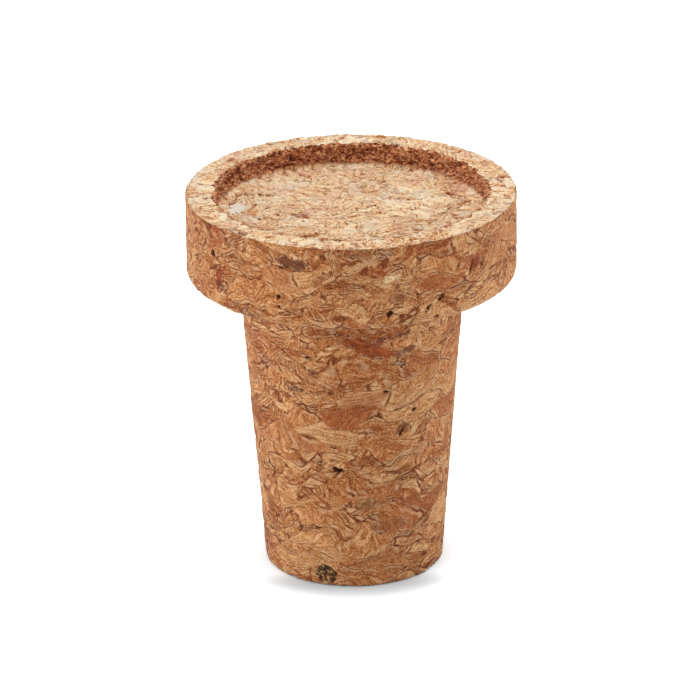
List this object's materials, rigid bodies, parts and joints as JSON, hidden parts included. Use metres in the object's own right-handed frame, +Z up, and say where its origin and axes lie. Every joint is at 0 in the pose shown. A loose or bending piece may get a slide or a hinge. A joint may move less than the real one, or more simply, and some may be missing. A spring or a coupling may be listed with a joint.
{
  "type": "cork stopper",
  "caption": "Tapered cork stopper with a wide disc head and a shallow round recess in its top, cut from agglomerated cork.",
  "frame": {"origin": "centre of the foot's underside, on the axis", "axes": "+Z up along the axis, from the foot to the head"},
  "size_m": [0.045, 0.045, 0.0535],
  "materials": {
    "cork": "raw agglomerated cork, sanded on the sides, milled and a little torn on the top and in the recess"
  },
  "bodies": {
    "root": {"cork_stopper": "cork"}
  },
  "joints": []
}
